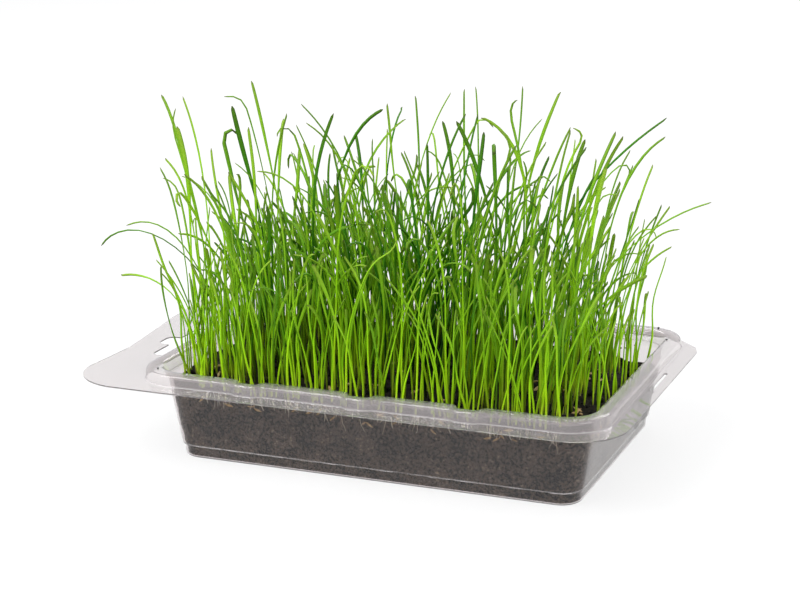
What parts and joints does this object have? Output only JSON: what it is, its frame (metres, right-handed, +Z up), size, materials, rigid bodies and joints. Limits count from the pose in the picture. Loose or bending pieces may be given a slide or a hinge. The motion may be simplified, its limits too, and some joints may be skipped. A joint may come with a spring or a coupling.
{
  "type": "wheatgrass tray",
  "caption": "Shallow clear plastic tray with a rimmed edge and a lifting flap, filled with growing soil and dense rows of young upright grass blades.",
  "frame": {"origin": "middle of the tray's flat underside", "axes": "+Z up out of the soil, +X along the tray's long side away from the flap, +Y towards the tray's back"},
  "size_m": [0.2414, 0.1498, 0.1411],
  "materials": {
    "clear_sheet": "clear thermoformed sheet, glossy, faintly grey at its edges",
    "growing_soil": "moist, crumbly, matt",
    "grass_blades": "fresh leaf, satin, paler and yellower near the soil"
  },
  "bodies": {
    "root": {"tray": "clear_sheet", "soil": "growing_soil", "grass_row_01": "grass_blades", "grass_row_02": "grass_blades", "grass_row_03": "grass_blades", "grass_row_04": "grass_blades", "grass_row_05": "grass_blades", "grass_row_06": "grass_blades", "grass_row_07": "grass_blades", "grass_row_08": "grass_blades", "grass_row_09": "grass_blades", "grass_row_10": "grass_blades", "grass_row_11": "grass_blades", "grass_row_12": "grass_blades", "grass_row_13": "grass_blades", "grass_row_14": "grass_blades", "grass_row_15": "grass_blades", "grass_row_16": "grass_blades", "grass_row_17": "grass_blades", "grass_row_18": "grass_blades"}
  },
  "joints": []
}
